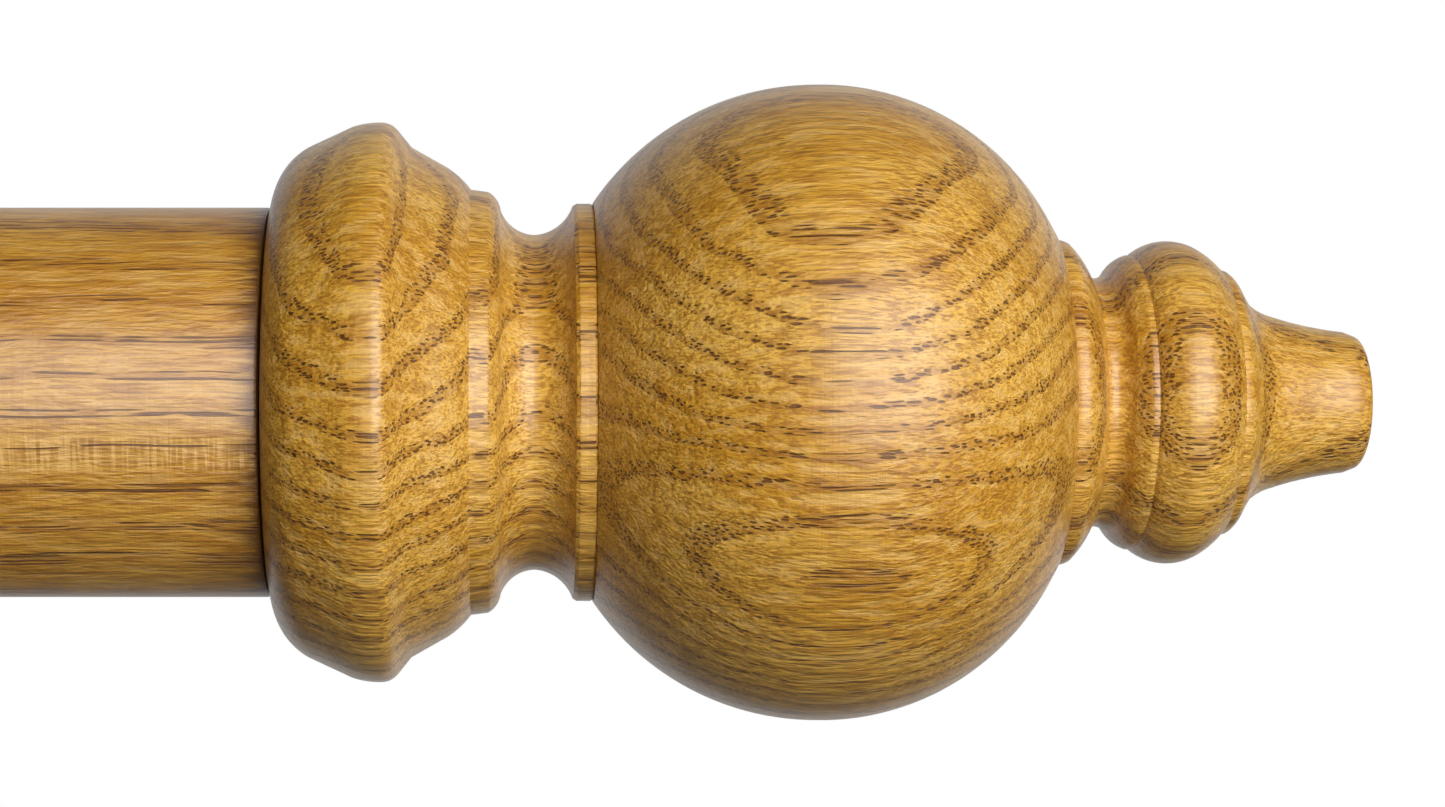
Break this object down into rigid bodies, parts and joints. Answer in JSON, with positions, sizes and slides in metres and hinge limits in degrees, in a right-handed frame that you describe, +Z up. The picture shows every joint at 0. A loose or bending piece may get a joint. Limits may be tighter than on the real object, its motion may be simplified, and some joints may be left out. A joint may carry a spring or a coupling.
{
  "type": "curtain pole with brackets",
  "caption": "Turned oak curtain pole with screw-in ball finials at its ends, lying in open-topped wooden wall brackets with brass locking screws below.",
  "frame": {"origin": "centre of the left bracket's wall face, level with the pole's axis", "axes": "+X along the pole towards the right finial, +Y into the wall, +Z up"},
  "size_m": [1.4786, 0.1753, 0.101],
  "materials": {
    "oak": "golden oak stain under satin varnish",
    "beech": "bare, fine grained",
    "brass": "satin, lightly worn",
    "steel": "zinc plated",
    "felt": "brown wool felt"
  },
  "bodies": {
    "brackets": {"left_rose": "oak", "left_arm": "oak", "left_cradle": "oak", "left_rose_dowel": "beech", "left_cradle_dowel": "beech", "left_felt": "felt", "left_wall_screw_1": "brass", "left_wall_screw_2": "brass", "left_wall_screw_3": "brass", "left_lock_insert": "brass", "right_rose": "oak", "right_arm": "oak", "right_cradle": "oak", "right_rose_dowel": "beech", "right_cradle_dowel": "beech", "right_felt": "felt", "right_wall_screw_1": "brass", "right_wall_screw_2": "brass", "right_wall_screw_3": "brass", "right_lock_insert": "brass"},
    "pole": {"pole": "oak", "left_pole_insert": "brass", "right_pole_insert": "brass"},
    "left_collar_ring": {"left_collar": "oak"},
    "left_finial": {"left_ball": "oak", "left_tip": "oak", "left_tip_dowel": "beech", "left_bolt": "steel"},
    "left_pad": {"left_pad": "brass"},
    "left_thumbscrew": {"left_thumbscrew": "brass"},
    "right_collar_ring": {"right_collar": "oak"},
    "right_finial": {"right_ball": "oak", "right_tip": "oak", "right_tip_dowel": "beech", "right_bolt": "steel"},
    "right_pad": {"right_pad": "brass"},
    "right_thumbscrew": {"right_thumbscrew": "brass"}
  },
  "joints": [
    {"name": "pole_lift", "type": "slide", "parent": "brackets", "child": "pole", "axis": [0, 0, 1], "range_m": [0, 0.06]},
    {"name": "left_finial_travel", "type": "slide", "parent": "pole", "child": "left_collar_ring", "axis": [-1, 0, 0], "range_m": [0, 0.015]},
    {"name": "left_finial_turn", "type": "hinge", "parent": "left_collar_ring", "child": "left_finial", "pos_m": [-0.1, -0.1, 0], "axis": [-1, 0, 0], "range_deg": [0, 4320]},
    {"name": "left_pad_travel", "type": "slide", "parent": "brackets", "child": "left_pad", "axis": [0, 0, -1], "range_m": [0, 0.004]},
    {"name": "left_thumbscrew_turn", "type": "hinge", "parent": "left_pad", "child": "left_thumbscrew", "pos_m": [0, -0.1, -0.0535], "axis": [0, 0, -1], "range_deg": [0, 1440]},
    {"name": "right_finial_travel", "type": "slide", "parent": "pole", "child": "right_collar_ring", "axis": [1, 0, 0], "range_m": [0, 0.015]},
    {"name": "right_finial_turn", "type": "hinge", "parent": "right_collar_ring", "child": "right_finial", "pos_m": [1.1, -0.1, 0], "axis": [1, 0, 0], "range_deg": [0, 4320]},
    {"name": "right_pad_travel", "type": "slide", "parent": "brackets", "child": "right_pad", "axis": [0, 0, -1], "range_m": [0, 0.004]},
    {"name": "right_thumbscrew_turn", "type": "hinge", "parent": "right_pad", "child": "right_thumbscrew", "pos_m": [1, -0.1, -0.0535], "axis": [0, 0, -1], "range_deg": [0, 1440]}
  ],
  "couplings": [
    {"joint": "left_finial_travel", "follows": "left_finial_turn", "m_per_rad": 0.00019894},
    {"joint": "left_pad_travel", "follows": "left_thumbscrew_turn", "m_per_rad": 0.00015915},
    {"joint": "right_finial_travel", "follows": "right_finial_turn", "m_per_rad": 0.00019894},
    {"joint": "right_pad_travel", "follows": "right_thumbscrew_turn", "m_per_rad": 0.00015915}
  ]
}
